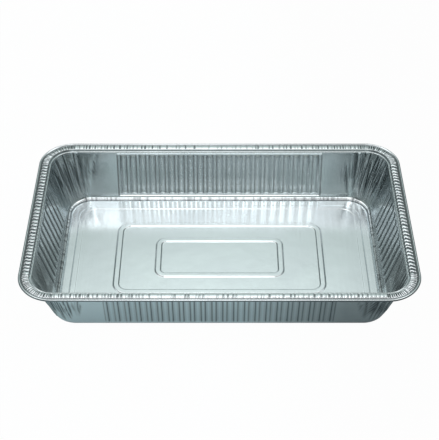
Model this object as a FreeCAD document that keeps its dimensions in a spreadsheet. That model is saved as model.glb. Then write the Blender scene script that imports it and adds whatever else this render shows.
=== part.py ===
"""Full-size foil tray: one sheet of aluminium, drawn deep, fluted, beaded and rolled at the rim.

Millimetres, +Z up, +X along the tray. The origin is the middle of the underside of the floor.
The sheet has an outer face and an inner face. Each is the skin of a solid form, the inner form
being the outer one less the foil, and the basin is what is left of one after cutting the other.
"""
import FreeCAD, Part
import math
import os

import Sketcher

V = FreeCAD.Vector
X_AXIS = V(1, 0, 0)

doc = FreeCAD.newDocument("foil_tray")

# Driving dimensions
SIZES = [
    ("foil", 0.15, "thickness of the sheet"),
    ("rim_length", 527.0, "over the rolled rim, long way"),
    ("rim_width", 325.0, "over the rolled rim, short way"),
    ("rim_height", 80.0, "underside of the floor to the top of the roll"),
    ("rim_corner", 48.0, "plan radius of the outer edge of the roll"),
    ("roll_diameter", 3.4, "outside of the rolled edge"),
    ("roll_start", 50.0, "degrees above level where the flange runs into the roll"),
    ("roll_end", 320.0, "degrees round to the cut edge of the sheet"),
    ("roll_flats", 9, "flats that the roll is drawn with"),
    ("groove_depth", 1.3, "groove between the roll and the band, below the rim top"),
    ("band_start", 5.3, "outer edge of the rim to the flat of the band"),
    ("band_hump", 2.7, "a third of the band's width: a hump, a valley and a hump"),
    ("band_crown", 2.9, "flat of a hump"),
    ("band_valley", 0.4, "drop of the valley between the two flats"),
    ("band_drop", 0.1, "band below the top of the roll"),
    ("flange_width", 15.0, "outer edge of the rim to the foot of the step"),
    ("step_lean", 1.2, "run of the step down to the shoulder"),
    ("shoulder_drop", 3.0, "rim top to the shoulder that carries a lid"),
    ("shoulder_width", 2.2, "foot of the step to the wall"),
    ("shoulder_lip", 0.1, "shoulder's inner edge past the wall's inner face"),
    ("floor_length", 452.0, "between the walls at floor level, long way"),
    ("floor_width", 258.0, "between the walls at floor level, short way"),
    ("floor_corner", 34.0, "plan radius of the floor's corners"),
    ("floor_round", 5.0, "radius between the floor and the walls"),
    ("round_flats", 3, "flats that this radius is drawn with"),
    ("wall_lean", 14.0, "mean lean of the walls, for the sheet's level thickness"),
    ("gathers", 8, "pleats that take up the sheet round each corner"),
    ("gather_depth", 0.55, "swing of a pleat to either side, high in the wall"),
    ("gather_drop", 9.0, "shoulder to the level where the pleats are deepest"),
    ("gather_foot", 9.0, "floor to the lower end of the pleats"),
    ("gather_foot_depth", 0.3, "swing of a pleat there"),
    ("flute_pitch", 14.3, "rib to rib"),
    ("flute_rib", 4.6, "width of the crest of a rib"),
    ("flute_depth", 0.9, "crest of a rib to the flat between two ribs"),
    ("flute_panel", 1.1, "crest of a rib outside the plain wall"),
    ("flute_slope", 42.0, "degrees from the wall to the flank of a rib"),
    ("flute_foot", 4.6, "floor to the lower end of the fluted panel, up the wall"),
    ("flute_head", 3.2, "shoulder to the upper end of the fluted panel, down the wall"),
    ("flute_rail", 1.6, "crest along the ends of the flats"),
    ("flutes_long", 21, "flats on each long wall"),
    ("flutes_short", 9, "flats on each short wall"),
    ("bead_width", 9.6, "foot to foot of a floor bead"),
    ("bead_height", 1.3, "rise of the inner two floor beads"),
    ("bead_crest", 5.0, "flat crest of a floor bead"),
    ("border_height", 0.6, "rise of the outer floor bead"),
    ("border_bead_length", 409.0, "outer floor bead, middle to middle, long way"),
    ("border_bead_width", 216.0, "outer floor bead, middle to middle, short way"),
    ("border_bead_corner", 22.0, "its corner radius"),
    ("middle_bead_length", 289.0, "middle floor bead, long way"),
    ("middle_bead_width", 138.0, "middle floor bead, short way"),
    ("middle_bead_corner", 16.0, "its corner radius"),
    ("inner_bead_length", 174.4, "inner floor bead, long way"),
    ("inner_bead_width", 72.4, "inner floor bead, short way"),
    ("inner_bead_corner", 11.0, "its corner radius"),
]
sheet = doc.addObject("Spreadsheet::Sheet", "Sizes")
for row, (alias, value, note) in enumerate(SIZES, start=1):
    sheet.set(f"A{row}", alias)
    sheet.set(f"B{row}", str(value))
    sheet.setAlias(f"B{row}", alias)
    sheet.set(f"C{row}", note)
doc.recompute()


def size(alias):
    """The value of a driving dimension."""
    return float(sheet.get(alias))


# Worked out from the driving dimensions, as expressions in the same sheet
DERIVED = [
    ("shoulder_level", "=rim_height - shoulder_drop - foil"),
    ("wall_inset", "=flange_width + shoulder_width"),
    ("top_length", "=rim_length - 2 * wall_inset"),
    ("top_width", "=rim_width - 2 * wall_inset"),
    ("top_corner", "=rim_corner - wall_inset"),
    ("wall_skin", "=foil / cos(wall_lean * 1deg)"),
    ("end_run", "=(top_length - floor_length) / 2"),
    ("side_run", "=(top_width - floor_width) / 2"),
    ("end_lean", "=atan(end_run / shoulder_level) / 1deg"),
    ("side_lean", "=atan(side_run / shoulder_level) / 1deg"),
    ("flank_shift", "=foil * tan(flute_slope * 0.5deg)"),
    ("panel_flank", "=flute_panel / tan(flute_slope * 1deg)"),
    ("bead_shift", "=foil * tan(0.5 * atan(2 * bead_height / (bead_width - bead_crest)))"),
    ("border_shift", "=foil * tan(0.5 * atan(2 * border_height / (bead_width - bead_crest)))"),
]
for row, (alias, formula) in enumerate(DERIVED, start=len(SIZES) + 2):
    sheet.set(f"A{row}", alias)
    sheet.set(f"B{row}", formula)
    sheet.setAlias(f"B{row}", alias)
doc.recompute()


def plane(body, role):
    """One of a body's own origin planes."""
    return next(f for f in body.Origin.OriginFeatures if f.Role == role)


def new_sketch(body, name, role):
    """A sketch on one of the body's origin planes."""
    sketch = body.newObject("Sketcher::SketchObject", name)
    sketch.AttachmentSupport = (plane(body, role), [""])
    sketch.MapMode = "FlatFace"
    return sketch


def bind(sketch, name, constraint, expression):
    """Add a driving constraint under a name and tie it to the sheet."""
    index = sketch.addConstraint(constraint)
    sketch.renameConstraint(index, name)
    sketch.setExpression(f"Constraints.{name}", expression)


def value_of(expression):
    """The number that an expression over the sheet gives now."""
    return float(sheet.evalExpression(expression.replace("Sizes.", "")))


def rounded_rectangle(body, name, level, length, width, corner):
    """A level, centred rectangle with round corners; level and sizes are expressions."""
    sketch = new_sketch(body, name, "XY_Plane")
    sketch.setExpression("AttachmentOffset.Base.z", level)
    round_outline(sketch, length, width, corner)
    return sketch


def round_outline(sketch, length, width, corner):
    """Draw the rectangle with round corners about the sketch's origin."""
    a, b, r = value_of(length) / 2, value_of(width) / 2, value_of(corner)
    front, right, back, left = range(0, 8, 2)
    corners = [(a - r, r - b, 270), (a - r, b - r, 0), (r - a, b - r, 90), (r - a, r - b, 180)]
    sides = [
        (V(r - a, -b, 0), V(a - r, -b, 0)),
        (V(a, r - b, 0), V(a, b - r, 0)),
        (V(a - r, b, 0), V(r - a, b, 0)),
        (V(-a, b - r, 0), V(-a, r - b, 0)),
    ]
    for (start, end), (x, y, turn) in zip(sides, corners):
        sketch.addGeometry(Part.LineSegment(start, end))
        circle = Part.Circle(V(x, y, 0), V(0, 0, 1), r)
        sketch.addGeometry(Part.ArcOfCircle(circle, math.radians(turn), math.radians(turn + 90)))
    for k in range(8):
        sketch.addConstraint(Sketcher.Constraint("Tangent", k, 2, (k + 1) % 8, 1))
    for k in (front, back):
        sketch.addConstraint(Sketcher.Constraint("Horizontal", k))
    for k in (right, left):
        sketch.addConstraint(Sketcher.Constraint("Vertical", k))
    for k in (3, 5, 7):
        sketch.addConstraint(Sketcher.Constraint("Equal", 1, k))
    sketch.addConstraint(Sketcher.Constraint("Symmetric", front, 1, back, 1, -1, 1))
    bind(sketch, "length", Sketcher.Constraint("DistanceX", left, 1, right, 1, 2 * a), length)
    bind(sketch, "width", Sketcher.Constraint("DistanceY", front, 1, back, 2, 2 * b), width)
    bind(sketch, "corner", Sketcher.Constraint("Radius", 1, r), corner)


def bead_groove(body, name, skin, bead, height, shift):
    """Cut one floor bead into the underside of a form: a sloped groove round a rounded path."""
    path = rounded_rectangle(
        body, f"{name}_path", skin,
        f"Sizes.{bead}_bead_length", f"Sizes.{bead}_bead_width", f"Sizes.{bead}_bead_corner",
    )
    section = new_sketch(body, f"{name}_section", "YZ_Plane")
    section.setExpression("AttachmentOffset.Base.y", skin)
    foot_width = f"(Sizes.bead_width + 2 * {shift})"
    reach = value_of(f"Sizes.{bead}_bead_width / 2 + {foot_width} / 2")
    foot, crest = value_of(foot_width), value_of(f"Sizes.bead_crest + 2 * {shift}")
    lead, rise = (foot - crest) / 2, value_of(height)
    points = [
        V(-reach, 0, 0), V(lead - reach, rise, 0),
        V(lead + crest - reach, rise, 0), V(foot - reach, 0, 0),
    ]
    closed_outline(section, points)
    for side in (1, 3):
        section.addConstraint(Sketcher.Constraint("Horizontal", side))
    section.addConstraint(Sketcher.Constraint("PointOnObject", 0, 1, -1))
    bind(section, "reach", Sketcher.Constraint("DistanceX", 0, 1, -1, 1, reach),
         f"Sizes.{bead}_bead_width / 2 + {foot_width} / 2")
    bind(section, "foot", Sketcher.Constraint("DistanceX", 0, 1, 3, 1, foot), foot_width)
    bind(section, "crest", Sketcher.Constraint("DistanceX", 1, 1, 2, 1, crest),
         f"Sizes.bead_crest + 2 * {shift}")
    bind(section, "lead", Sketcher.Constraint("DistanceX", 0, 1, 1, 1, lead),
         "(Sizes.bead_width - Sizes.bead_crest) / 2")
    bind(section, "rise", Sketcher.Constraint("DistanceY", 0, 1, 1, 1, rise), height)
    groove = body.newObject("PartDesign::SubtractivePipe", name)
    groove.Profile = section
    groove.Refine = False
    groove.Spine = path
    doc.recompute()


def closed_outline(sketch, points):
    """Straight sides through the points, joined end to end."""
    count = len(points)
    first = sketch.GeometryCount
    for k in range(count):
        sketch.addGeometry(Part.LineSegment(points[k], points[(k + 1) % count]))
    for k in range(count):
        ends = (first + k, 2, first + (k + 1) % count, 1)
        sketch.addConstraint(Sketcher.Constraint("Coincident", *ends))


def wall_rectangle(body, name, role, reach, lean, lift, middle, width, bottom, top):
    """A rectangle lying in a wall: from the upright origin plane, out by reach and leant back.

    lift is its height off the wall, middle the sideways place of its centre, and bottom and top
    are measured up the wall from floor level. All are expressions.
    """
    sketch = new_sketch(body, name, role)
    sketch.AttachmentOffset = FreeCAD.Placement(V(0, 0, 0), FreeCAD.Rotation(X_AXIS, 1))
    sketch.setExpression("AttachmentOffset.Rotation.Angle", f"{lean} * 1deg")
    sketch.setExpression("AttachmentOffset.Base.z", f"{reach} + {lift} * cos({lean} * 1deg)")
    sketch.setExpression("AttachmentOffset.Base.y", f"-({lift}) * sin({lean} * 1deg)")
    sketch.setExpression("AttachmentOffset.Base.x", middle)
    half, low, high = value_of(width) / 2, value_of(bottom), value_of(top)
    closed_outline(sketch, [V(-half, low, 0), V(half, low, 0), V(half, high, 0), V(-half, high, 0)])
    sketch.addConstraint(Sketcher.Constraint("Horizontal", 2))
    for side in (1, 3):
        sketch.addConstraint(Sketcher.Constraint("Vertical", side))
    sketch.addConstraint(Sketcher.Constraint("Symmetric", 0, 1, 0, 2, -2))
    bind(sketch, "width", Sketcher.Constraint("DistanceX", 0, 1, 0, 2, 2 * half), width)
    bind(sketch, "bottom", Sketcher.Constraint("DistanceY", -1, 1, 0, 1, low), bottom)
    bind(sketch, "top", Sketcher.Constraint("DistanceY", -1, 1, 2, 1, high), top)
    return sketch


def flute_wall(body, name, role, mirror_role, reach, lean, count, skin, shift):
    """Raise the fluted panel on one wall and its opposite, and press the flats into it."""
    up_shift = f"{skin} * tan({lean} * 1deg)"
    wall_up = f"Sizes.shoulder_level / cos({lean} * 1deg)"
    crest_width = f"({count} * Sizes.flute_pitch + Sizes.flute_rib - 2 * {shift})"
    panel_low = f"(Sizes.flute_foot + {up_shift} + {shift})"
    panel_high = f"({wall_up} - Sizes.flute_head + {up_shift} - {shift})"
    outline = wall_rectangle(
        body, f"{name}_panel_outline", role, reach, lean, "0", "0",
        f"{crest_width} + 2 * Sizes.panel_flank", panel_low, panel_high,
    )
    panel = body.newObject("PartDesign::Pad", f"{name}_panel")
    panel.Profile = outline
    panel.Refine = False
    panel.setExpression("Length", "Sizes.flute_panel")
    panel.setExpression("TaperAngle", "Sizes.flute_slope * 1deg - 90deg")
    doc.recompute()
    pair = body.newObject("PartDesign::Mirrored", f"{name}_panels")
    pair.Originals = [panel]
    pair.Refine = False
    pair.MirrorPlane = (plane(body, mirror_role), [""])
    body.Tip = pair
    doc.recompute()
    rail = "(Sizes.panel_flank + Sizes.flute_rail)"
    flat_outline = wall_rectangle(
        body, f"{name}_flat_outline", role, reach, lean, "Sizes.flute_panel",
        f"-({count} - 1) / 2 * Sizes.flute_pitch",
        f"Sizes.flute_pitch - Sizes.flute_rib + 2 * {shift}",
        f"Sizes.flute_foot + {up_shift} + {rail} - {shift}",
        f"{wall_up} - Sizes.flute_head + {up_shift} - {rail} + {shift}",
    )
    flat = body.newObject("PartDesign::Pocket", f"{name}_flat")
    flat.Profile = flat_outline
    flat.Refine = False
    flat.setExpression("Length", "Sizes.flute_depth")
    flat.setExpression("TaperAngle", "Sizes.flute_slope * 1deg - 90deg")
    doc.recompute()
    row = body.newObject("PartDesign::MultiTransform", f"{name}_flats")
    row.Originals = [flat]
    row.Refine = False
    body.Tip = row
    along = body.newObject("PartDesign::LinearPattern", f"{name}_spacing")
    along.Direction = (flat_outline, ["H_Axis"])
    along.setExpression("Length", f"({count} - 1) * Sizes.flute_pitch")
    along.setExpression("Occurrences", count)
    across = body.newObject("PartDesign::Mirrored", f"{name}_opposite")
    across.MirrorPlane = (plane(body, mirror_role), [""])
    row.Transformations = [along, across]
    body.Tip = row
    doc.recompute()


def outline_ring(skin, level, inset=0.0, fold=0.0):
    """A form's outline at one level, as points: straight walls, and corners of narrow flats.

    inset is how far it stands in from the wall, and fold how far the points between the flats
    swing out and in by turns.
    """
    rise = level / size("shoulder_level")
    wall = skin / math.cos(math.radians(size("wall_lean")))
    half_length = size("floor_length") / 2 + size("end_run") * rise - wall - inset
    half_width = size("floor_width") / 2 + size("side_run") * rise - wall - inset
    corner = size("floor_corner") + (size("top_corner") - size("floor_corner")) * rise
    radius = corner - wall - inset
    flats = 2 * int(size("gathers"))
    step = math.radians(90) / flats
    pleat_skin = wall / math.cos(math.atan2(2 * fold, corner * step)) - wall
    ring = []
    for quarter, (right, back) in enumerate(((1, 1), (-1, 1), (-1, -1), (1, -1))):
        x, y = right * (half_length - radius), back * (half_width - radius)
        for k in range(flats + 1):
            swing = 0 if k in (0, flats) else fold * (-1) ** k - pleat_skin
            angle = quarter * math.radians(90) + k * step
            reach = radius + swing
            ring.append(V(x + reach * math.cos(angle), y + reach * math.sin(angle), level))
    return ring


def flat_face(*corners):
    """A face with straight edges through the corners."""
    return Part.Face(Part.makePolygon([*corners, corners[0]]))


def folded_blank(name, skin):
    """The form before its flutes and beads: floor, bottom round, walls and gathered corners."""
    lean = math.radians(size("wall_lean"))
    bend = size("floor_round") - skin
    toe = bend * math.tan(math.radians(45) - lean / 2)
    rings, flat_rings = [], int(size("round_flats")) + 1
    for k in range(flat_rings):
        turn = k / size("round_flats") * (math.radians(90) - lean)
        up = bend * (1 - math.cos(turn))
        inset = toe - bend * math.sin(turn) + up * math.tan(lean)
        rings.append(outline_ring(skin, skin + up, inset))
    top = size("shoulder_level")
    rings.append(outline_ring(skin, size("gather_foot"), fold=size("gather_foot_depth")))
    rings.append(outline_ring(skin, top - size("gather_drop"), fold=size("gather_depth")))
    rings.append(outline_ring(skin, top))
    faces = [flat_face(*rings[0]), flat_face(*rings[-1])]
    per_corner = 2 * int(size("gathers")) + 1
    for band, (low, high) in enumerate(zip(rings, rings[1:]), start=1):
        for k in range(len(low)):
            a, b, c, d = low[k - 1], low[k], high[k], high[k - 1]
            if band < flat_rings or k % per_corner == 0:
                faces.append(flat_face(a, b, c, d))
            elif k % per_corner % 2:
                faces += [flat_face(a, b, c), flat_face(a, c, d)]
            else:
                faces += [flat_face(a, b, d), flat_face(b, c, d)]
    shell = Part.makeShell(faces)
    shell.sewShape()
    blank = doc.addObject("Part::Feature", name)
    blank.Shape = Part.Solid(shell).removeSplitter()
    return blank


def pressing_form(name, skin):
    """The solid form whose skin is the sheet's outer face (skin 0) or inner face (the foil)."""
    body = doc.addObject("PartDesign::Body", name)
    level_skin = f"{skin} / cos(Sizes.wall_lean * 1deg)"
    body.BaseFeature = folded_blank(f"{name}_blank", value_of(skin))
    doc.recompute()
    shift = f"{skin} / Sizes.foil * Sizes.flank_shift"
    flute_wall(
        body, f"{name}_long", "XZ_Plane", "XZ_Plane", f"(Sizes.floor_width / 2 - {level_skin})",
        "Sizes.side_lean", "Sizes.flutes_long", skin, shift,
    )
    flute_wall(
        body, f"{name}_short", "YZ_Plane", "YZ_Plane", f"(Sizes.floor_length / 2 - {level_skin})",
        "Sizes.end_lean", "Sizes.flutes_short", skin, shift,
    )
    for bead, height, own_shift in (
        ("border", "Sizes.border_height", "Sizes.border_shift"),
        ("middle", "Sizes.bead_height", "Sizes.bead_shift"),
        ("inner", "Sizes.bead_height", "Sizes.bead_shift"),
    ):
        bead_groove(body, f"{name}_{bead}", skin, bead, height, f"{skin} / Sizes.foil * {own_shift}")
    return body


outer_form = pressing_form("outer", "0")
inner_form = pressing_form("inner", "Sizes.foil")
# The faces that the features split are merged here, in one go
basin = doc.addObject("Part::Cut", "basin")
basin.Base = outer_form
basin.Tool = inner_form
basin.Refine = True


# The rim: shoulder, step, band, groove and roll, bent from one strip of the sheet
def rim_points():
    """The underside of the strip from the wall out to the cut edge: (inset, level) expressions."""
    shoulder = "Sizes.shoulder_level"
    band = "(Sizes.rim_height - Sizes.band_drop - Sizes.foil)"
    valley = f"({band} - Sizes.band_valley)"
    groove = "(Sizes.rim_height - Sizes.groove_depth - Sizes.foil)"
    reach = "(Sizes.roll_diameter / 2 - Sizes.foil)"
    middle = "(Sizes.roll_diameter / 2)"
    level = "(Sizes.rim_height - Sizes.roll_diameter / 2)"
    start = "(Sizes.roll_start * 1deg)"
    leave_in = f"({middle} + {reach} * cos({start}))"
    leave_up = f"({level} + {reach} * sin({start}))"
    points = [
        ("Sizes.wall_inset + Sizes.wall_skin + Sizes.shoulder_lip", shoulder),
        ("Sizes.flange_width", shoulder),
        ("Sizes.flange_width - Sizes.step_lean", band),
        ("Sizes.band_start + 3 * Sizes.band_hump - Sizes.band_crown", band),
        ("Sizes.band_start + 1.5 * Sizes.band_hump", valley),
        ("Sizes.band_start + Sizes.band_crown", band),
        ("Sizes.band_start", band),
        (f"{leave_in} + ({leave_up} - {groove}) * tan({start})", groove),
    ]
    for k in range(int(size("roll_flats")) + 1):
        turn = f"(({start} + {k} / Sizes.roll_flats * (Sizes.roll_end - Sizes.roll_start) * 1deg))"
        points.append((f"{middle} + {reach} * cos({turn})", f"{level} + {reach} * sin({turn})"))
    return points


def bent_line(name, points):
    """A standing, open line of straight bends, with its origin under the rim's front edge."""
    sketch = doc.addObject("Sketcher::SketchObject", name)
    sketch.Placement = FreeCAD.Placement(V(0, 0, 0), FreeCAD.Rotation(V(1, 1, 1), 120))
    sketch.setExpression("Placement.Base.y", "-Sizes.rim_width / 2")
    places = [V(value_of(inset), value_of(level), 0) for inset, level in points]
    for here, there in zip(places, places[1:]):
        sketch.addGeometry(Part.LineSegment(here, there))
    last = len(places) - 2
    for k in range(last):
        sketch.addConstraint(Sketcher.Constraint("Coincident", k, 2, k + 1, 1))
    for k, ((inset, level), place) in enumerate(zip(points, places)):
        end = (k, 1) if k <= last else (last, 2)
        bind(sketch, f"inset_{k}", Sketcher.Constraint("DistanceX", -1, 1, *end, place.x), inset)
        bind(sketch, f"level_{k}", Sketcher.Constraint("DistanceY", -1, 1, *end, place.y), level)
    return sketch


rim_path = doc.addObject("Sketcher::SketchObject", "rim_path")
rim_path.setExpression("Placement.Base.z", "Sizes.shoulder_level")
round_outline(rim_path, "Sizes.rim_length", "Sizes.rim_width", "Sizes.rim_corner")
rim_strip = doc.addObject("Part::Offset2D", "rim_strip")
rim_strip.Source = bent_line("rim_line", rim_points())
rim_strip.setExpression("Value", "Sizes.foil")
rim_strip.Mode = "Skin"
rim_strip.Join = "Intersection"
rim_strip.Fill = True
doc.recompute()
rim = doc.addObject("Part::Sweep", "rim")
rim.Sections = [rim_strip]
rim.Spine = (rim_path, [f"Edge{k}" for k in range(1, len(rim_path.Shape.Edges) + 1)])
rim.Solid = True

tray = doc.addObject("Part::MultiFuse", "foil_tray")
tray.Label = "foil_tray"
tray.Shapes = [basin, rim]
doc.recompute()

# Nothing is written unless every object worked out
for item in doc.Objects:
    if {"Invalid", "Error"} & set(item.State):
        raise RuntimeError(f"{item.Name} failed: {item.State}")
if tray.Shape.isNull() or not tray.Shape.isValid() or len(tray.Shape.Solids) != 1:
    raise RuntimeError("the tray isn't one valid solid")
os.makedirs("parts", exist_ok=True)
tray.Shape.exportStep(f"parts/{tray.Label}.step")
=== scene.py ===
"""Full-size foil tray: thin bright aluminium with fluted walls, gathered corners and a crimped rim.

Every piece is drawn as the middle of the sheet and gets its thickness at the end. Lengths in the
functions are millimetres, and a finished mesh is in metres. The tray stands on its floor at z = 0,
with +X along it and its front at -Y. "Dark" and "shade" are painted shade: the share, 0 to 1, by
which the foil's colour is darkened at the bottom of a crease, crimp or flute, in the rim's groove,
on its roll and at the wall's foot, standing in for the shade and dark reflections there.
"""
import math
import random
from collections import namedtuple

import bmesh
import bpy
import numpy as np
from bpy.props import FloatProperty, FloatVectorProperty, IntProperty, PointerProperty
from mathutils import Matrix, Vector, noise


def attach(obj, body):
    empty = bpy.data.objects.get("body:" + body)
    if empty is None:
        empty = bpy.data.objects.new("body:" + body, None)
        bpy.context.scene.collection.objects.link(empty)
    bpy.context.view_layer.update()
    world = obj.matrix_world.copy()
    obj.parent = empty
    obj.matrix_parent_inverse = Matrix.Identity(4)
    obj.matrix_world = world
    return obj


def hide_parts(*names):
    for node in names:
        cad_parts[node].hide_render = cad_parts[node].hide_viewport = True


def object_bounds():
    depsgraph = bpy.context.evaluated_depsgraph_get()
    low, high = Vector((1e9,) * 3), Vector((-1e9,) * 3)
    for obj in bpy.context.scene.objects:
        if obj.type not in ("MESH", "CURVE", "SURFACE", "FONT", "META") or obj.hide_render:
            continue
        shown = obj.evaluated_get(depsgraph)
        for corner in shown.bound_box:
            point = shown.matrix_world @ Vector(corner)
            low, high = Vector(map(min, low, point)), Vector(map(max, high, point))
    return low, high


bl_info = {
    "name": "Foil tray",
    "version": (1, 0, 0),
    "blender": (4, 5, 0),
    "location": "View3D > Sidebar > Foil tray",
    "description": "Builds a deep foil tray with flutes, gathers, floor beads and a crimped rim",
    "category": "Add Mesh",
}

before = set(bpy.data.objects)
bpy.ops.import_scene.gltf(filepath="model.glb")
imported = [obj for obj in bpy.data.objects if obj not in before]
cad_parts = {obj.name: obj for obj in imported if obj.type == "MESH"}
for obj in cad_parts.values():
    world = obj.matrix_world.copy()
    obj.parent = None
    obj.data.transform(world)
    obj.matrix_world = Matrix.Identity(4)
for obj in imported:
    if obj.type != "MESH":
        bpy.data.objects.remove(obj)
CAD_LOW, CAD_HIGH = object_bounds()
NODE = "foil_tray"
MM = 0.001
QUARTER = math.pi / 2
# Vertex attribute that carries the painted shade, 0 to 1
PAINTED_SHADE = "painted_shade"

# Stations round the tray: the half lengths that a wall's marks lie on, and a corner's curve
LONG_REF = 192.0
SHORT_REF = 95.0
CORNER_CURVE = 32.0
CORNERS = ((1, -1), (1, 1), (-1, 1), (-1, -1))
FLUTE_BENDS = (-0.25, 0.3, 0.8, 1.35)
PANEL_BENDS = (2.2, 1.6, 1.0, 0.4, -0.3)

# Spacing of the stations: on long walls, on short walls and round corners
WALL_SPACING = 1.3
GATHER_SPACING = 0.6
FLOOR_SPACING = (7.0, 6.0, 1.6)
RIM_SPACING = (0.88, 0.72, 0.42)

# Rows up the wall: along its slope from the floor, and down from the shoulder
ROUND_STEPS = 6
FOOT_ROWS = (4.4, 4.9, 5.4, 6.0, 6.7, 7.5, 8.3, 9.1, 10.0, 11.0, 13.0)
MIDDLE_START, MIDDLE_END, MIDDLE_ROWS = 18, 12.5, 8
HEAD_ROWS = (9.2, 8.2, 7.3, 6.5, 5.7, 5.0, 4.4, 3.8, 3.2, 2.6, 1.9, 0.9)

# Fluted panels: ends along the slope, plan of the outline, and run of the flanks
PANEL_FOOT = 4.6
PANEL_HEAD = 3.2
PANEL_CORNER = 2
PANEL_SLOPE = 1.6
PANEL_LEAD = 0.4
WELL_INSIDE = 9
FLUTE_RUNOUT = 4
FLANK_RUN = 1.15

# Painted shade on the flutes' flanks, in place of their dark reflections: middle and spread, and
# the fades along a long wall
FLANK_LINE = (-0.5, 0.8)
EDGE_LINE = (-0.4, 0.7)
EDGE_SHADE = 0.8
LONG_SHADE, SHORT_SHADE = 0.56, 0.95
FRONT_GAIN = 1.7
SHORT_RIGHT = 0.15
BACK_LOWEST, BACK_GAIN, BACK_RISE = 0.3, 0.5, 0.5
BACK_LEFT_FADE = (-30, 60, 0.15)
BACK_RIGHT_FADE = (-30, 20, 0.05)
FRONT_LEFT_FADE = (-20, 60, 0.75)
FRONT_RIGHT_FADE = (30, 150, 0.75)

# Painted shade on the front wall's foot, and uneven spots of painted shade along every wall's foot
FOOT_LEVEL, FOOT_SHADE = 3.5, 0.35
FOOT_SIDE = -0.3
FOOT_SPOT_LEVEL, FOOT_SPOT_SIZE, FOOT_SPOT_GAIN = 2, 3.2, 2.5
FOOT_SPOT_SHORT, FOOT_SPOT_OTHER = 0.5, 0.45

# Gathers of a corner, measured round the tray from its middle at the gather level
Crease = namedtuple("Crease", "place drift width depth tone low high")
GATHER_LEVEL = 40
CREASES = 34
CREASE_REACH = 52
CREASE_FOOT, CREASE_FAN = 0.62, 0.38
CREASE_FROM, CREASE_GROWTH, CREASE_FADE = 2.5, 5, 3
CREASE_START, CREASE_END = 0.16, 0.14
# Painted shade in the creases: its line across a crease, its rise from the floor, and its least and
# most share, heavier at the front corners
CREASE_LINE = (0.5, 0.55)
SHADE_RISE = 0.4
FRONT_SHADES, BACK_SHADES = (0.3, 1.15), (0.1, 1.0)
CREASE_SHADES = (FRONT_SHADES, BACK_SHADES, BACK_SHADES, FRONT_SHADES)
BULGE = 0.25
BULGE_OUTER, BULGE_FALL = 65, 37
BULGE_INNER, BULGE_RISE = 6, 20

# Floor beads: half length, half width and corner radius of their middle, and their section
BORDER_BEAD = (204.5, 108.0, 22.0)
MIDDLE_BEAD = (144.5, 69.0, 16.0)
INNER_BEAD = (87.2, 36.2, 11.0)
BORDER_HEIGHT = 0.34
BEAD_WIDTH, BEAD_CREST = 9.2, 5.8
BEAD_GUARD = 0.7
BEAD_STEPS = 5
BEAD_LEAST_CORNER = 1.2
CORE_SHARES = (0.8, 0.6, 0.4, 0.2, 0.05)
FLOOR_WAVE, FLOOR_WAVE_LENGTH, FLOOR_WAVE_EDGE = 0.05, 55, 8

# Rim: insets from the outer edge, and what the crimps do
STEP_FACE = (13.4, 14.9)
BAND_INNER, BAND_WIDTH, BAND_OUTER = 13.1, 7.7, 5.4
BAND_MIDDLE = 9.5
BAND_DROP = 0.55
BAND_CROWN, BAND_FULLNESS = 0.42, 0.6
BAND_STEPS = 8
ROLL_RADIUS = 1.7
ROLL_START, ROLL_TURN, ROLL_STEPS = 50, 270, 8
# Painted shade on the roll's outer side, starting sooner round the roll at the back
ROLL_SHADE, ROLL_SHADE_RUN = 0.85, 0.5
ROLL_SHADE_BACK, ROLL_SHADE_ELSEWHERE = 1.5, 2.2
CRIMP_DEPTH = 0.95
CRIMP_SWAY = 0.8
STEP_CRIMP = 0.6
# Painted shade on the step at the back, and the share of the crimps' painted shade on the front
BACK_STEP_SHADE = 0.35
FRONT_CRIMP_SHADE = 0.75

# Crimps by part of the rim: ranges of pitch, half width and depth, the depth as a share
CORNER_CRIMPS = ((1.8, 3.8), (0.6, 1.2), (0.4, 1.2))
SHORT_CRIMPS = ((5.7, 7.5), (1.7, 2.8), (0.75, 1.15))
LONG_CRIMPS = ((2.5, 7.0), (0.7, 1.6), (0.15, 0.7))
MIDDLE_CRIMPS = ((3.0, 11.0), (0.7, 1.6), (0.15, 0.55))
MIDDLE_REACH = 90
CORNER_MARGIN, CORNER_BLEND = 6, 8
CRIMP_SEED = 40
# Painted shade in the crimps' hollows: the depth at which it starts, and its run
CRIMP_SHADE_FROM, CRIMP_SHADE_RUN = 0.12, 0.5

# Sky: stops of height and brightness, then runs as start, end, value at start, value at end
SKY_STOPS = (
    (0.0, 0.085), (0.3, 0.17), (0.52, 0.222), (0.669, 0.252), (0.69, 0.303),
    (0.72, 0.43), (0.76, 0.57), (0.88, 1.08), (0.955, 1.08), (0.985, 0.4),
)
SKY_COOL, SKY_COOL_BELOW, SKY_COOL_RUN = 0.13, 0.88, 0.2
FRONT_LIFT = (-0.9, -0.5, 0.32, 0.0)
FRONT_DIM = (-0.85, -0.5, 0.6, 1.0)
LIGHT_SHIFT = (0.72, 0.94, 0.0, 0.034)
LIGHT_NARROWING = (0.72, 0.94, 1.0, 4.4)
LIGHT_ROUNDING = 0.004
LIGHT_FALL = (0.063, 0.5, 1.0, 0.2)
OVERHEAD = (0.8, 0.92, 0.0, 0.29)
FLANKS = (0.55, 0.85, 0.0, 0.35)
WINGS = (0.28, 0.48, 0.0, 0.7)
WINGS_RISE = (0.74, 0.84, 0.0, 1.0)

# Stage and camera, in metres and degrees
STAGE_HALF = 6.0
STAGE_LEVEL = -0.0003
# Painted shade on the stage floor towards the right, which the foil mirrors
STAGE_DARK_SIDE = (0.03, 0.17, 0.0, 0.6)
EYE = (0.0, -1.146, 1.1037)
EYE_TILT = 42.0
EYE_LENS, EYE_SENSOR = 90.89, 36.0
EYE_NEAR = 0.05


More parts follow.
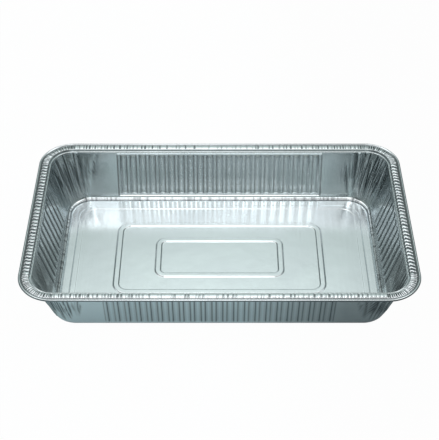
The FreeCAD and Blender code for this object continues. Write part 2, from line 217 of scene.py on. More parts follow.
class TraySizes(bpy.types.PropertyGroup):
    """Sizes of the pressed sheet."""

    foil: FloatProperty(
        name="Foil", description="Thickness of the sheet",
        default=0.15 * MM, unit="LENGTH")
    rim_corner: FloatProperty(
        name="Rim corner", description="Plan radius of the rolled edge",
        default=48 * MM, unit="LENGTH")
    floor_length: FloatProperty(
        name="Floor length", description="Between the end walls at floor level",
        default=452 * MM, unit="LENGTH")
    floor_width: FloatProperty(
        name="Floor width", description="Between the side walls at floor level",
        default=258 * MM, unit="LENGTH")
    floor_corner: FloatProperty(
        name="Floor corner", description="Plan radius of the floor's corners",
        default=34 * MM, unit="LENGTH")
    flange: FloatProperty(
        name="Flange", description="Outer edge to the foot of the step",
        default=15 * MM, unit="LENGTH")
    flute_pitch: FloatProperty(
        name="Flute pitch", description="Rib to rib",
        default=14.3 * MM, unit="LENGTH")
    flute_depth: FloatProperty(
        name="Flute depth", description="Crest of a rib to the flat beside it",
        default=0.9 * MM, unit="LENGTH")
    flutes_long: IntProperty(
        name="Long wall flutes", description="Flats on each long wall", default=21, min=1)
    flutes_short: IntProperty(
        name="Short wall flutes", description="Flats on each short wall", default=9, min=1)
    bead_height: FloatProperty(
        name="Bead height", description="Rise of the two inner floor beads",
        default=1.2 * MM, unit="LENGTH")
    seed: IntProperty(name="Creases", description="Seed of the creases and crimps", default=7)


class FoilFinish(bpy.types.PropertyGroup):
    """Colour, painted shade and gloss of the foil."""

    bright: FloatVectorProperty(
        name="Bright", description="Clean foil", subtype="COLOR",
        default=(0.815, 0.862, 0.878), min=0, max=1)
    dull: FloatVectorProperty(
        name="Dull", description="Rubbed and creased foil", subtype="COLOR",
        default=(0.76, 0.81, 0.83), min=0, max=1)
    # Colour of full painted shade, put in creases, crimps, flute flanks, on the rim and at the
    # wall's foot
    creased: FloatVectorProperty(
        name="Creased", description="Dark bottoms of creases and crimps", subtype="COLOR",
        default=(0.07, 0.09, 0.1), min=0, max=1)
    gloss: FloatProperty(
        name="Roughness", description="Roughness of clean foil",
        default=0.168, min=0, max=1, subtype="FACTOR")


class StageLook(bpy.types.PropertyGroup):
    """Floor and light."""

    floor: FloatVectorProperty(
        name="Floor", description="Pale floor", subtype="COLOR",
        default=(0.76, 0.92, 0.96), min=0, max=1)
    sky: FloatProperty(
        name="Sky", description="Strength of the light overhead", default=2.52, min=0)
    seen_glow: FloatProperty(
        name="Seen glow", description="White that the camera adds to the floor",
        default=0.98, min=0, max=1, subtype="FACTOR")
    mirrored_glow: FloatProperty(
        name="Mirrored glow", description="White that the foil adds to it",
        default=0.04, min=0, max=1, subtype="FACTOR")


def in_mm(length):
    """A property's metres as millimetres."""
    return length / MM


class Stations:
    """Places round the tray, anticlockwise, from the left end of the front wall.

    Each has the wall that it lies on or -1 for a corner, an outward direction, its place along the
    wall or its turn round the corner, and the corner that its wall ends at. Walls and corners are
    numbered from the front wall and the front right corner.
    """

    def __init__(self, long_marks, short_marks, turns):
        sides, normals, alongs, corners = [], [], [], []
        walls = (
            ((0, -1), long_marks, 1),
            ((1, 0), short_marks, 1),
            ((0, 1), long_marks, -1),
            ((-1, 0), short_marks, -1),
        )
        for index, (normal, marks, way) in enumerate(walls):
            for mark in marks:
                sides.append(index)
                normals.append(normal)
                alongs.append(way * mark)
                corners.append(CORNERS[index])
            start = math.atan2(normal[1], normal[0])
            for turn in turns:
                sides.append(-1)
                normals.append((math.cos(start + turn), math.sin(start + turn)))
                alongs.append(turn)
                corners.append(CORNERS[index])
        self.side = np.array(sides)
        self.normal = np.array(normals, float)
        self.along = np.array(alongs, float)
        self.corner = np.array(corners, float)
        self.count = len(sides)
        self.long = (self.side == 0) | (self.side == 2)
        self.short = (self.side == 1) | (self.side == 3)
        self.round = self.side == -1

    def ring(self, a, b, r, panel_long=0.0, panel_short=0.0):
        """Places on the rounded rectangle of half length a, half width b and corner radius r.

        Marks keep their place within the panel's half length, and spread out beyond it.
        """
        centre = self.corner * np.array([a - r, b - r])
        for mask, axis, half, ref, panel in (
            (self.long, 0, a - r, LONG_REF, panel_long),
            (self.short, 1, b - r, SHORT_REF, panel_short),
        ):
            mark = self.along[mask]
            past = np.maximum(np.abs(mark) - panel, 0) / (ref - panel)
            centre[mask, axis] = np.sign(mark) * (
                np.minimum(np.abs(mark), panel) + past * (half - panel)
            )
            centre[mask, 1 - axis] = 0
        flat = self.normal * r
        flat[self.long, 1] = self.normal[self.long, 1] * b
        flat[self.short, 0] = self.normal[self.short, 0] * a
        return centre + flat

    def from_corner(self, a, b, r):
        """Signed distance round the tray from the middle of the nearest corner, and its number."""
        spot = self.ring(a, b, r)
        half_arc = QUARTER * r / 2
        number = np.zeros(self.count, int)
        away = np.zeros(self.count)
        for k, (x, y) in enumerate(CORNERS):
            mask = self.round & (self.corner[:, 0] == x) & (self.corner[:, 1] == y)
            number[mask] = k
            away[mask] = self.along[mask] * r - half_arc
        for side, way, axis in ((0, 1, 0), (1, 1, 1), (2, -1, 0), (3, -1, 1)):
            mask = self.side == side
            place = spot[mask, axis] * way
            half = (a - r) if axis == 0 else (b - r)
            first = place < 0
            number[mask] = np.where(first, (side + 3) % 4, side)
            away[mask] = np.where(first, place + half + half_arc, place - half - half_arc)
        return away, number


def even(low, high, step):
    """Marks from low up to high, without high, about a step apart."""
    count = max(1, round((high - low) / step))
    return list(np.linspace(low, high, count, endpoint=False))


def even_stations(long_step, short_step, corner_step):
    """Stations round the tray, evenly spaced on each wall and round the corners."""
    return Stations(
        even(-LONG_REF, LONG_REF, long_step) + [LONG_REF],
        even(-SHORT_REF, SHORT_REF, short_step) + [SHORT_REF],
        even(0, QUARTER, corner_step / CORNER_CURVE)[1:],
    )


def flute_marks(reference, flutes, pitch, rib):
    """Marks along a wall that land on the bends of its flutes."""
    half = (flutes * pitch + rib) / 2
    plain = even(-reference, -half - PANEL_BENDS[0], WALL_SPACING)
    marks = plain + [-half - past for past in PANEL_BENDS]
    for k in range(flutes):
        left = -half + rib + k * pitch
        right = left + pitch - rib
        marks.append(left - rib / 2)
        marks += [left + bend for bend in FLUTE_BENDS]
        marks.append((left + right) / 2)
        marks += [right - bend for bend in reversed(FLUTE_BENDS)]
    marks.append(half - rib / 2)
    marks += [half + past for past in reversed(PANEL_BENDS)]
    return marks + [-mark for mark in reversed(plain)]


def smooth(t):
    """A soft step from 0 to 1."""
    t = np.clip(t, 0, 1)
    return t * t * (3 - 2 * t)


def soft_line(offset, middle, spread):
    """A soft bump of height 1 at the middle."""
    return np.exp(-((offset - middle) / spread) ** 2)


def fade(place, start, end, low):
    """One before start, falling to low at end."""
    return 1 - (1 - low) * smooth((place - start) / (end - start))


def sheet_grid(name, places, painted_shades):
    """A ring-shaped sheet from a grid: places and painted shades hold one entry for each row and
    station.
    """
    rows, columns = painted_shades.shape
    bm = bmesh.new()
    bmesh.ops.create_grid(bm, x_segments=columns, y_segments=rows - 1, size=1)
    # Each vertex keeps its painted shade in a float layer
    mark = bm.verts.layers.float.new(PAINTED_SHADE)
    bm.verts.ensure_lookup_table()
    for index, vert in enumerate(bm.verts):
        row, column = divmod(index, columns + 1)
        vert.co = places[row, column % columns]
        vert[mark] = painted_shades[row, column % columns]
    bmesh.ops.remove_doubles(bm, verts=bm.verts, dist=1e-5)
    for face in bm.faces:
        face.smooth = True
    mesh = bpy.data.meshes.new(name)
    bm.to_mesh(mesh)
    bm.free()
    return mesh


def finish_piece(mesh, name, material, foil):
    """Link a sheet as a piece of the tray, with its thickness and finish."""
    mesh.transform(Matrix.Scale(MM, 4))
    piece = bpy.data.objects.new(name, mesh)
    bpy.context.scene.collection.objects.link(piece)
    mesh.materials.append(material)
    wall = piece.modifiers.new("Foil", "SOLIDIFY")
    wall.thickness = foil
    wall.offset = 0
    wall.use_even_offset = False
    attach(piece, "root")
    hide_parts(NODE)
    return piece


class Tray:
    """Working sizes of the tray in millimetres, mostly read from the properties.

    skin is half the foil, slope the wall's height along itself, round the radius of the bottom
    round and toe its reach, rib the width of a rib, and panel how far the fluted panel stands out.
    """

    def __init__(self):
        sizes = bpy.context.scene.tray_sizes
        self.foil = in_mm(sizes.foil)
        self.skin = self.foil / 2
        self.length = (CAD_HIGH.x - CAD_LOW.x) / MM
        self.width = (CAD_HIGH.y - CAD_LOW.y) / MM
        self.height = CAD_HIGH.z / MM
        self.rim_corner = in_mm(sizes.rim_corner)
        self.flange = in_mm(sizes.flange)
        self.floor_a = in_mm(sizes.floor_length) / 2
        self.floor_b = in_mm(sizes.floor_width) / 2
        self.floor_r = in_mm(sizes.floor_corner)
        self.pitch = in_mm(sizes.flute_pitch)
        self.depth = in_mm(sizes.flute_depth)
        self.bead = in_mm(sizes.bead_height)
        self.long_count = sizes.flutes_long
        self.short_count = sizes.flutes_short
        self.seed = sizes.seed
        # The shoulder is the flat ledge between the wall's top and the step of the rim
        self.shoulder = 2.2
        self.shoulder_drop = 3.0
        self.shoulder_level = self.height - self.shoulder_drop - self.skin
        self.lean = math.radians(14)
        self.slope = self.shoulder_level / math.cos(self.lean)
        self.round = 5.0 - self.skin
        self.toe = self.round * math.tan(math.radians(45) - self.lean / 2)
        self.inset = self.flange + self.shoulder
        self.rib = 4.6
        self.panel = 1.1
        self.panel_long = (self.long_count * self.pitch + self.rib) / 2 + PANEL_BENDS[0]
        self.panel_short = (self.short_count * self.pitch + self.rib) / 2 + PANEL_BENDS[0]

    def wall_ring(self, level):
        """Half length, half width and corner radius of the wall's middle at a level."""
        rise = level / self.shoulder_level
        skin = self.skin / math.cos(self.lean)
        top_a = self.length / 2 - self.inset
        top_b = self.width / 2 - self.inset
        top_r = self.rim_corner - self.inset
        return (
            self.floor_a + (top_a - self.floor_a) * rise - skin,
            self.floor_b + (top_b - self.floor_b) * rise - skin,
            self.floor_r + (top_r - self.floor_r) * rise - skin,
        )

    def wall_spots(self, stations, level, inset):
        """Places of the stations at a level of the wall, an inset inside its straight face."""
        a, b, r = self.wall_ring(level)
        return stations.ring(a - inset, b - inset, r - inset, self.panel_long, self.panel_short)


def crease_set(seed):
    """Creases of one corner, shallower and with lighter painted shade towards its ends."""
    rng = random.Random(seed)
    creases = []
    for k in range(CREASES):
        place = -CREASE_REACH + 2 * CREASE_REACH * (k + rng.uniform(0.1, 0.9)) / CREASES
        outer = abs(place) / CREASE_REACH
        waning = 1.1 - 0.5 * outer
        creases.append(Crease(
            place=place,
            drift=rng.uniform(-6, 6),
            width=rng.uniform(0.8, 2.2),
            depth=rng.choice((-1, 1, 1)) * rng.uniform(0.45, 1.3) * waning,
            # tone is the strength of the crease's painted shade
            tone=rng.uniform(0.6, 1.3) * waning,
            low=rng.uniform(-0.1, 0.3) + 0.2 * outer,
            high=rng.uniform(0.8, 1.2) - 0.15 * outer,
        ))
    return creases


def gather_swing(away, number, height, corners):
    """How far the corner creases push the wall outwards at one height, 0 to 1, and their painted
    shade.
    """
    swing = np.zeros(len(away))
    dark = np.zeros(len(away))
    rising = float(smooth(height / SHADE_RISE))
    for corner, creases in enumerate(corners):
        mask = number == corner
        near = away[mask]
        total = np.zeros(len(near))
        shade = np.zeros(len(near))
        for crease in creases:
            window = smooth((height - crease.low) / CREASE_START)
            window = window * smooth((crease.high - height) / CREASE_END)
            middle = crease.place * (CREASE_FOOT + CREASE_FAN * height)
            middle += crease.drift * (height - 0.5)
            offset = (near - middle) / crease.width
            total += crease.depth * window * np.clip(1 - np.abs(offset), 0, 1)
            shade = np.maximum(shade, crease.tone * window * soft_line(offset, *CREASE_LINE))
        bulge = BULGE * smooth((BULGE_OUTER - np.abs(near)) / BULGE_FALL)
        swing[mask] = total + bulge * smooth((np.abs(near) - BULGE_INNER) / BULGE_RISE)
        lowest, most = CREASE_SHADES[corner]
        dark[mask] = np.minimum(1, shade * most * (lowest + (1 - lowest) * rising))
    return swing, dark


def flute_swing(along, up, count, tray):
    """How far the flutes push a wall outwards at one height, and the painted shade of their flanks.
    """
    half = (count * tray.pitch + tray.rib) / 2
    low, high = PANEL_FOOT, tray.slope - PANEL_HEAD
    past_end = np.abs(along) - half
    past_top = abs(up - (low + high) / 2) - (high - low) / 2
    inside = PANEL_CORNER - np.hypot(
        np.maximum(past_end + PANEL_CORNER, 0), max(past_top + PANEL_CORNER, 0)
    )
    deep = (past_end < -PANEL_CORNER) & (past_top < -PANEL_CORNER)
    inside = np.where(deep, WELL_INSIDE, inside)
    panel = tray.panel * smooth(inside / PANEL_SLOPE + PANEL_LEAD)
    phase = (along + half - tray.rib / 2) % tray.pitch - tray.pitch / 2
    local = np.abs(phase) - (tray.pitch - tray.rib) / 2
    ends = float(smooth((up - low - PANEL_SLOPE) / FLUTE_RUNOUT)
                 * smooth((high - PANEL_SLOPE - up) / FLUTE_RUNOUT))
    covered = np.abs(along) < half - tray.rib / 2
    flank = covered * soft_line(local, *FLANK_LINE) * ends
    edge = soft_line(past_end, *EDGE_LINE) * ends
    left = np.where(phase < 0, flank, 0) + np.where(along > 0, edge, 0) * EDGE_SHADE
    right = np.where(phase > 0, flank, 0) + np.where(along < 0, edge, 0) * EDGE_SHADE
    return panel - covered * tray.depth * smooth(-local / FLANK_RUN) * ends, left, right


def long_lines(back, place, left, right, height):
    """Painted shade of the flanks on the long walls, where the back differs from the front."""
    behind = left * fade(place, *BACK_LEFT_FADE) + right * fade(place, *BACK_RIGHT_FADE)
    behind = behind * (BACK_LOWEST + BACK_GAIN * float(smooth(height / BACK_RISE)))
    before = FRONT_GAIN * left * fade(place, *FRONT_LEFT_FADE)
    before = before + FRONT_GAIN * right * fade(-place, *FRONT_RIGHT_FADE)
    return LONG_SHADE * np.where(back, behind, before)


def short_lines(left, right):
    """Painted shade of the flanks on the short walls."""
    return SHORT_SHADE * (left + SHORT_RIGHT * right)


def wall_profile(tray):
    """Rows of the wall from the floor up: level, and how far inside the straight wall it lies."""
    profile = []
    for k in range(ROUND_STEPS + 1):
        turn = k / ROUND_STEPS * (QUARTER - tray.lean)
        up = tray.round * (1 - math.cos(turn))
        inset = tray.toe - tray.round * math.sin(turn) + up * math.tan(tray.lean)
        profile.append((tray.skin + up, inset))
    ups = list(FOOT_ROWS)
    ups += list(np.linspace(MIDDLE_START, tray.slope - MIDDLE_END, MIDDLE_ROWS))
    ups += [tray.slope - down for down in HEAD_ROWS]
    return profile + [(up * math.cos(tray.lean), 0.0) for up in ups]


def foot_shade_spots(foot):
    """Uneven spots of painted shade along the wall's foot, 0 to 1."""
    return np.array([
        float(smooth(noise.noise(Vector((x / FOOT_SPOT_SIZE, y / FOOT_SPOT_SIZE, 1.7))) * FOOT_SPOT_GAIN))
        for x, y in foot
    ])


class TRAY_OT_walls(bpy.types.Operator):
    """Build the four walls: bottom round, fluted panels, gathered corners and shoulder"""

    bl_idname = "foil_tray.walls"
    bl_label = "Walls"

    def execute(self, context):
        tray = Tray()
        stations = Stations(
            flute_marks(LONG_REF, tray.long_count, tray.pitch, tray.rib),
            flute_marks(SHORT_REF, tray.short_count, tray.pitch, tray.rib),
            even(0, QUARTER, GATHER_SPACING / CORNER_CURVE),
        )
        away, number = stations.from_corner(*tray.wall_ring(GATHER_LEVEL))
        corners = [crease_set(tray.seed + corner) for corner in range(len(CORNERS))]
        foot_spots = foot_shade_spots(stations.ring(*tray.wall_ring(tray.skin)))
        cos_lean = math.cos(tray.lean)
        top = tray.shoulder_level
        rows, painted_shades = [], []
        for level, inset in wall_profile(tray):
            spot = tray.wall_spots(stations, level, inset)
            height = level / top
            ease = float(smooth((level - CREASE_FROM) / CREASE_GROWTH)
                         * smooth((top - level) / CREASE_FADE))
            swing, painted_shade = gather_swing(away, number, height, corners)
            swing, painted_shade = swing * ease, painted_shade * ease
            for mask, axis, count in (
                (stations.long, 0, tray.long_count), (stations.short, 1, tray.short_count),
            ):
                place = spot[mask, axis]
                push, left, right = flute_swing(place, level / cos_lean, count, tray)
                swing[mask] += push
                if axis == 0:
                    lines = long_lines(stations.side[mask] == 2, place, left, right, height)
                else:
                    lines = short_lines(left, right)
                painted_shade[mask] = np.maximum(painted_shade[mask], lines)
            # Painted shade on the front wall's foot
            if level < FOOT_LEVEL:
                painted_shade = np.maximum(painted_shade, FOOT_SHADE * (stations.normal[:, 1] < FOOT_SIDE))
            # Uneven spots of painted shade along every wall's foot
            if level < FOOT_SPOT_LEVEL:
                depth = np.where(stations.short, FOOT_SPOT_SHORT, FOOT_SPOT_OTHER)
                painted_shade = np.maximum(painted_shade, depth * foot_spots)
            spot = spot + stations.normal * (swing * cos_lean)[:, None]
            rows.append(np.column_stack([spot, level - swing * math.sin(tray.lean)]))
            painted_shades.append(painted_shade)
        for outset, level in ((0.15, top - 0.05), (0.5, top), (tray.shoulder, top)):
            spot = tray.wall_spots(stations, top, -outset)
            rows.append(np.column_stack([spot, np.full(stations.count, level)]))
            painted_shades.append(np.zeros(stations.count))
        mesh = sheet_grid("tray_walls", np.array(rows), np.array(painted_shades))
        finish_piece(mesh, "tray_walls", foil_material(context), tray.foil * MM)
        return {"FINISHED"}


def bead_rings(half_length, half_width, corner, height):
    """Rings over one floor bead, from its outer foot to its inner foot: inset plan and rise."""
    foot, crest = BEAD_WIDTH / 2, BEAD_CREST / 2
    lead = (BEAD_WIDTH - BEAD_CREST) / 2
    steps = [k / BEAD_STEPS for k in range(BEAD_STEPS + 1)]
    outer = [(foot + BEAD_GUARD, 0.0)]
    outer += [(foot - lead * t, height * float(smooth(t))) for t in steps]
    outer.append((crest - BEAD_GUARD, height))
    rings = outer + [(-out, rise) for out, rise in reversed(outer)]
    return [
        (half_length + out, half_width + out, max(corner + out, BEAD_LEAST_CORNER), rise)
        for out, rise in rings
    ]


def between(first, last, steps):
    """Flat rings from one rounded rectangle to the next, both left out."""
    rings = []
    for k in range(1, steps + 1):
        t = k / (steps + 1)
        rings.append(tuple(p + (q - p) * t for p, q in zip(first, last)))
    return rings


def floor_rings(edge, bead):
    """Rings of the floor from its edge to its middle: plan and rise."""
    border = bead_rings(*BORDER_BEAD, BORDER_HEIGHT)
    middle = bead_rings(*MIDDLE_BEAD, bead)
    inner = bead_rings(*INNER_BEAD, bead)
    rings = [edge, *between(edge, border[0], 2), *border]
    rings += [*between(border[-1], middle[0], 6), *middle]
    rings += [*between(middle[-1], inner[0], 5), *inner]
    a, b, r, _ = inner[-1]
    rings += [(a * share, b * share, r * share, 0.0) for share in CORE_SHARES]
    return rings + [(0.0, 0.0, 0.0, 0.0)]


def floor_wave(x, y, edge):
    """Slight unevenness of the pressed floor, none at its edge."""
    wave = FLOOR_WAVE * (
        1 + noise.noise(Vector((x / FLOOR_WAVE_LENGTH, y / FLOOR_WAVE_LENGTH, 0.3)))
    )
    across = max(0, (edge[0] - abs(x)) / FLOOR_WAVE_EDGE)
    along = max(0, (edge[1] - abs(y)) / FLOOR_WAVE_EDGE)
    return wave * min(1, across, along)


class TRAY_OT_floor(bpy.types.Operator):
    """Build the floor with its three raised beads"""

    bl_idname = "foil_tray.floor"
    bl_label = "Floor"

    def execute(self, context):
        tray = Tray()
        stations = even_stations(*FLOOR_SPACING)
        a, b, r = tray.wall_ring(tray.skin)
        edge = (a - tray.toe, b - tray.toe, r - tray.toe, 0.0)
        rows = []
        for a, b, r, rise in reversed(floor_rings(edge, tray.bead)):
            spot = stations.ring(a, b, r)
            level = [tray.skin + rise + floor_wave(x, y, edge) for x, y in spot]
            rows.append(np.column_stack([spot, level]))
        places = np.array(rows)
        mesh = sheet_grid("tray_floor", places, np.zeros(places.shape[:2]))
        finish_piece(mesh, "tray_floor", foil_material(context), tray.foil * MM)
        return {"FINISHED"}


def crimp_set(stations, tray):
    """Crimps as (place, half width, depth), the way round to each station, and the way in all."""
    a = tray.length / 2 - BAND_MIDDLE
    b = tray.width / 2 - BAND_MIDDLE
    r = tray.rim_corner - BAND_MIDDLE
    spot = stations.ring(a, b, r)
    steps = np.hypot(*np.diff(np.vstack([spot, spot[:1]]), axis=0).T)
    travel = np.concatenate([[0], np.cumsum(steps)[:-1]])
    total = steps.sum()
    away, _ = stations.from_corner(a, b, r)
    corner = smooth((QUARTER * r / 2 + CORNER_MARGIN - np.abs(away)) / CORNER_BLEND)
    rng = random.Random(tray.seed + CRIMP_SEED)
    crimps = []
    place = 0.0
    while place < total - 1.0:
        nearest = int(np.searchsorted(travel, place)) % stations.count
        if corner[nearest] > 0.5:
            ranges = CORNER_CRIMPS
        elif stations.short[nearest]:
            ranges = SHORT_CRIMPS
        elif abs(spot[nearest, 0]) < MIDDLE_REACH:
            ranges = MIDDLE_CRIMPS
        else:
            ranges = LONG_CRIMPS
        pitch, width, deep = (rng.uniform(*limits) for limits in ranges)
        crimps.append((place, width, deep))
        place += pitch
    return crimps, travel, total


def depth_at(crimps, travel, total):
    """Depth of the crimps, 0 to 1, at each distance round the rim."""
    depth = np.zeros(len(travel))
    for place, width, deep in crimps:
        offset = np.abs(travel - place)
        offset = np.minimum(offset, total - offset)
        depth = np.maximum(depth, deep * smooth(1 - offset / width))
    return depth


def rim_profile(tray, behind):
    """Rows of the rim from the step's foot to the cut edge: inset, level, crimping and painted
    shade.
    """
    top = tray.height - tray.skin
    profile = [
        (15.0, tray.shoulder_level, 0.0, 0.0),
        (14.8, tray.shoulder_level + 0.25, 0.0, 0.0),
        (14.3, top - 1.5, 0.0, 0.0),
        (13.9, top - 0.75, 0.0, 0.0),
        (13.5, top - BAND_DROP, 0.0, 0.0),
    ]
    for k in range(BAND_STEPS + 1):
        t = k / BAND_STEPS
        crown = BAND_CROWN * abs(math.sin(math.pi * t)) ** BAND_FULLNESS
        crimping = float(smooth(min(t, 1 - t) / 0.08 + 0.45))
        profile.append((BAND_INNER - BAND_WIDTH * t, top - BAND_DROP + crown, crimping, 0.0))
    # The groove between band and roll, with painted shade in it
    profile += [
        (4.9, top - 0.8, 0.2, 0.3),
        (4.3, top - 1.25, 0.0, 0.9),
        (3.7, top - 1.3, 0.0, 0.6),
    ]
    roll = ROLL_RADIUS - tray.skin
    # Painted shade on the roll's outer side, starting sooner at the back
    dark_from = np.where(behind, ROLL_SHADE_BACK, ROLL_SHADE_ELSEWHERE)
    for k in range(ROLL_STEPS + 1):
        turn = math.radians(ROLL_START + ROLL_TURN * k / ROLL_STEPS)
        profile.append((
            ROLL_RADIUS + roll * math.cos(turn),
            tray.height - ROLL_RADIUS + roll * math.sin(turn),
            0.0,
            ROLL_SHADE * smooth((turn - dark_from) / ROLL_SHADE_RUN),
        ))
    return profile


class TRAY_OT_rim(bpy.types.Operator):
    """Build the rim: step, crimped band, groove and rolled edge"""

    bl_idname = "foil_tray.rim"
    bl_label = "Rim"

    def execute(self, context):
        tray = Tray()
        stations = even_stations(*RIM_SPACING)
        crimps, travel, total = crimp_set(stations, tray)
        behind = stations.normal[:, 1] > 0.5
        strength = np.where(stations.side == 0, FRONT_CRIMP_SHADE, 1.0)
        rows, painted_shades = [], []
        for inset, level, crimping, shade in rim_profile(tray, behind):
            spot = stations.ring(
                tray.length / 2 - inset, tray.width / 2 - inset, tray.rim_corner - inset
            )
            sway = 0.0
            if BAND_OUTER < inset < BAND_INNER:
                sway = CRIMP_SWAY * math.sin((inset - BAND_OUTER) / BAND_WIDTH * 2 * math.pi)
            press = depth_at(crimps, travel + sway * stations.short, total)
            if STEP_FACE[0] < inset < STEP_FACE[1]:
                crimping = np.where(stations.short, STEP_CRIMP, crimping)
                # Painted shade on the step at the back
                shade = shade + BACK_STEP_SHADE * behind
            rows.append(np.column_stack([spot, level - CRIMP_DEPTH * press * crimping]))
            # Painted shade in the crimps' hollows, lighter on the front wall
            pressed = smooth((press - CRIMP_SHADE_FROM) / CRIMP_SHADE_RUN)
            painted_shades.append(np.clip(shade + strength * crimping * pressed, 0, 1))
        mesh = sheet_grid("tray_rim", np.array(rows), np.array(painted_shades))
        finish_piece(mesh, "tray_rim", foil_material(context), tray.foil * MM)
        return {"FINISHED"}


def feed(tree, socket, value):
    """Give a socket another node's output, or a plain value."""
    if isinstance(value, bpy.types.NodeSocket):
        tree.links.new(value, socket)
    else:
        socket.default_value = value


def add_node(tree, kind, output, inputs=None):
    """Add a node, feed its inputs by name, and give back one of its outputs."""
    node = tree.nodes.new(kind)
    for name, value in (inputs or {}).items():
        feed(tree, node.inputs[name], value)
    return node.outputs[output]


def add_math(tree, operation, *values):
    """Output of a Math node over values or outputs."""
    node = tree.nodes.new("ShaderNodeMath")
    node.operation = operation
    for socket, value in zip(node.inputs, values):
        feed(tree, socket, value)
    return node.outputs["Value"]


def add_run(tree, value, start, end, low=0.0, high=1.0):
    """Output that runs from low to high while a value runs from start to end."""
    return add_node(tree, "ShaderNodeMapRange", "Result", {
        "Value": value, "From Min": start, "From Max": end, "To Min": low, "To Max": high,
    })


def add_mix(tree, share, first, second):
    """Colour that a share turns from the first into the second."""
    node = tree.nodes.new("ShaderNodeMix")
    node.data_type = "RGBA"
    for index, value in ((0, share), (6, first), (7, second)):
        feed(tree, node.inputs[index], value)
    return node.outputs[2]


def add_axes(tree, vector):
    """The three parts of a vector."""
    node = tree.nodes.new("ShaderNodeSeparateXYZ")
    feed(tree, node.inputs["Vector"], vector)
    return [node.outputs[axis] for axis in "XYZ"]


def foil_material(context):
    """Rolled foil: metal with faint rolling streaks, rubbed patches, soft dents and painted shade.
    """
    name = "Bright rolled foil"
    if name in bpy.data.materials:
        return bpy.data.materials[name]
    look = context.scene.foil_finish
    material = bpy.data.materials.new(name)
    material.use_nodes = True
    tree = material.node_tree
    shader = tree.nodes["Principled BSDF"]
    shader.inputs["Metallic"].default_value = 1.0
    place = add_node(tree, "ShaderNodeTexCoord", "Object")

    patches = add_node(tree, "ShaderNodeTexNoise", "Fac", {
        "Vector": place, "Scale": 14.0, "Detail": 4.0,
    })
    rubbed = add_run(tree, patches, 0.35, 0.65)
    tint = add_mix(tree, rubbed, (*look.bright, 1), (*look.dull, 1))
    # Painted shade: the attribute mixes the foil's colour towards the shade colour
    painted_shade = tree.nodes.new("ShaderNodeAttribute")
    painted_shade.attribute_name = PAINTED_SHADE
    shaded = add_mix(tree, painted_shade.outputs["Fac"], tint, (*look.creased, 1))
    feed(tree, shader.inputs["Base Color"], shaded)
    gloss = add_run(tree, patches, 0.3, 0.7, look.gloss - 0.03, look.gloss + 0.06)
    feed(tree, shader.inputs["Roughness"], gloss)

    stretched = add_node(tree, "ShaderNodeMapping", "Vector", {
        "Vector": place, "Scale": (260.0, 9.0, 40.0),
    })
    streaks = add_node(tree, "ShaderNodeTexNoise", "Fac", {
        "Vector": stretched, "Scale": 1.0, "Detail": 2.0,
    })
    dents = add_node(tree, "ShaderNodeTexNoise", "Fac", {
        "Vector": place, "Scale": 38.0, "Detail": 2.0,
    })
    fine = add_node(tree, "ShaderNodeBump", "Normal", {
        "Height": streaks, "Strength": 1.0, "Distance": 0.00004,
    })
    soft = add_node(tree, "ShaderNodeBump", "Normal", {
        "Height": dents, "Strength": 0.35, "Distance": 0.0003, "Normal": fine,
    })
    feed(tree, shader.inputs["Normal"], soft)
    return material


def emit_world(look):
    """Studio sky: brightest high up, dimmer straight overhead, low down, to the sides and in front.

    Its main light is narrower and further left the higher it is. Two paler wings lie high up on
    either side, and paler flanks far out.
    """
    world = bpy.data.worlds.new("Studio")
    bpy.context.scene.world = world
    world.use_nodes = True
    tree = world.node_tree
    sky = tree.nodes["Background"]
    x, y, z = add_axes(tree, add_node(tree, "ShaderNodeTexCoord", "Generated"))

    ramp = tree.nodes.new("ShaderNodeValToRGB")
    points = ramp.color_ramp.elements
    points.remove(points[1])
    for place, level in SKY_STOPS:
        point = points.new(place) if place else points[0]
        cool = SKY_COOL * min(1, max(0, (SKY_COOL_BELOW - place) / SKY_COOL_RUN))
        point.color = (level * (1 - cool), level, level * (1 - 0.2 * cool), 1)
    feed(tree, ramp.inputs["Fac"], add_math(tree, "ADD", z, add_run(tree, y, *FRONT_LIFT)))
    feed(tree, sky.inputs["Color"], ramp.outputs["Color"])

    def sky_run(value, start, end, low, high):
        """A run between two shares of the sky's strength."""
        return add_run(tree, value, start, end, look.sky * low, look.sky * high)

    shifted = add_math(tree, "ADD", x, add_run(tree, z, *LIGHT_SHIFT))
    across = add_math(tree, "MULTIPLY", shifted, add_run(tree, z, *LIGHT_NARROWING))
    square = add_math(tree, "MULTIPLY_ADD", across, across, LIGHT_ROUNDING)
    light = sky_run(add_math(tree, "SQRT", square), *LIGHT_FALL)
    least = add_math(tree, "MAXIMUM", light, sky_run(z, *OVERHEAD))
    aside = add_math(tree, "ABSOLUTE", x)
    wings, rise = sky_run(aside, *WINGS), add_run(tree, z, *WINGS_RISE)
    beside = add_math(tree, "MULTIPLY_ADD", wings, rise, sky_run(aside, *FLANKS))
    strength = add_math(tree, "ADD", least, beside)
    dimmed = add_math(tree, "MULTIPLY", strength, add_run(tree, y, *FRONT_DIM))
    feed(tree, sky.inputs["Strength"], dimmed)


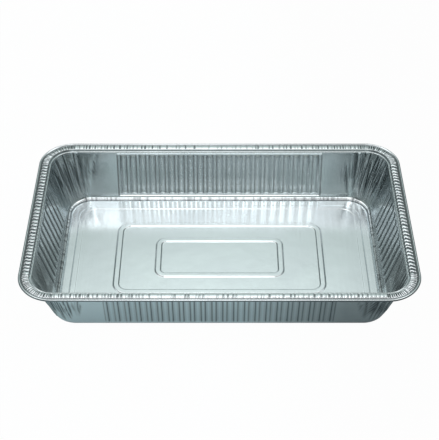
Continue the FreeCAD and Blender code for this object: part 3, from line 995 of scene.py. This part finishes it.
def floor_material(look):
    """Pale matt floor, with painted shade towards the right, that the camera sees as white."""
    material = bpy.data.materials.new("Pale floor")
    material.use_nodes = True
    tree = material.node_tree
    shader = tree.nodes["Principled BSDF"]
    x, _, _ = add_axes(tree, add_node(tree, "ShaderNodeTexCoord", "Object"))
    # Painted shade towards the right, which the foil mirrors
    shade = add_run(tree, x, *STAGE_DARK_SIDE)
    tone = add_mix(tree, shade, (*look.floor, 1), (0, 0, 0, 1))
    feed(tree, shader.inputs["Base Color"], tone)
    shader.inputs["Roughness"].default_value = 1.0
    shader.inputs["Specular IOR Level"].default_value = 0.0
    glow = add_node(tree, "ShaderNodeEmission", "Emission", {
        "Color": (1, 1, 1, 1), "Strength": 1.0,
    })
    path = tree.nodes.new("ShaderNodeLightPath")
    mirrored = add_math(
        tree, "MAXIMUM", path.outputs["Is Glossy Ray"], path.outputs["Is Transmission Ray"]
    )
    dim = add_math(tree, "MULTIPLY", mirrored, look.mirrored_glow)
    share = add_math(tree, "MULTIPLY_ADD", path.outputs["Is Camera Ray"], look.seen_glow, dim)
    blend = tree.nodes.new("ShaderNodeMixShader")
    for socket, value in zip(blend.inputs, (share, shader.outputs["BSDF"], glow)):
        feed(tree, socket, value)
    feed(tree, tree.nodes["Material Output"].inputs["Surface"], blend.outputs["Shader"])
    return material


def add_camera(scene):
    """The camera, in front of the tray and looking down on it."""
    camera = bpy.data.cameras.new("Camera")
    camera.sensor_fit = "VERTICAL"
    camera.sensor_height = EYE_SENSOR
    camera.lens = EYE_LENS
    camera.clip_start = EYE_NEAR
    eye = bpy.data.objects.new("Camera", camera)
    eye.location = EYE
    eye.rotation_euler = (math.radians(90 - EYE_TILT), 0, 0)
    scene.collection.objects.link(eye)
    scene.camera = eye


class TRAY_OT_stage(bpy.types.Operator):
    """Build the pale floor, the studio sky and the camera"""

    bl_idname = "foil_tray.stage"
    bl_label = "Stage"

    def execute(self, context):
        look = context.scene.stage_look
        bm = bmesh.new()
        bmesh.ops.create_grid(bm, x_segments=1, y_segments=1, size=STAGE_HALF)
        bmesh.ops.translate(bm, verts=bm.verts, vec=(0, 0, STAGE_LEVEL))
        mesh = bpy.data.meshes.new("stage_floor")
        bm.to_mesh(mesh)
        bm.free()
        mesh.materials.append(floor_material(look))
        ground = bpy.data.objects.new("stage_floor", mesh)
        context.scene.collection.objects.link(ground)
        emit_world(look)
        add_camera(context.scene)
        context.scene.view_settings.view_transform = "Standard"
        return {"FINISHED"}


class TRAY_PT_panel(bpy.types.Panel):
    """Lists the steps that build the tray"""

    bl_idname = "TRAY_PT_panel"
    bl_label = "Foil tray"
    bl_space_type = "VIEW_3D"
    bl_region_type = "UI"
    bl_category = "Foil tray"

    def draw(self, context):
        layout = self.layout
        for name in GROUPS:
            group = getattr(context.scene, name)
            box = layout.box()
            for prop in group.bl_rna.properties:
                if prop.identifier not in ("rna_type", "name"):
                    box.prop(group, prop.identifier)
        for operator in STEPS:
            layout.operator(operator.bl_idname)


GROUPS = {"tray_sizes": TraySizes, "foil_finish": FoilFinish, "stage_look": StageLook}
STEPS = (TRAY_OT_floor, TRAY_OT_walls, TRAY_OT_rim, TRAY_OT_stage)


def register():
    """Make the properties, operators and panel known."""
    for name, group in GROUPS.items():
        bpy.utils.register_class(group)
        setattr(bpy.types.Scene, name, PointerProperty(type=group))
    for cls in (*STEPS, TRAY_PT_panel):
        bpy.utils.register_class(cls)


def unregister():
    """Take them away again."""
    for cls in (TRAY_PT_panel, *reversed(STEPS)):
        bpy.utils.unregister_class(cls)
    for name, group in GROUPS.items():
        delattr(bpy.types.Scene, name)
        bpy.utils.unregister_class(group)


def main():
    """Build everything."""
    register()
    bpy.ops.foil_tray.floor()
    bpy.ops.foil_tray.walls()
    bpy.ops.foil_tray.rim()
    bpy.ops.foil_tray.stage()


if __name__ == "__main__":
    main()
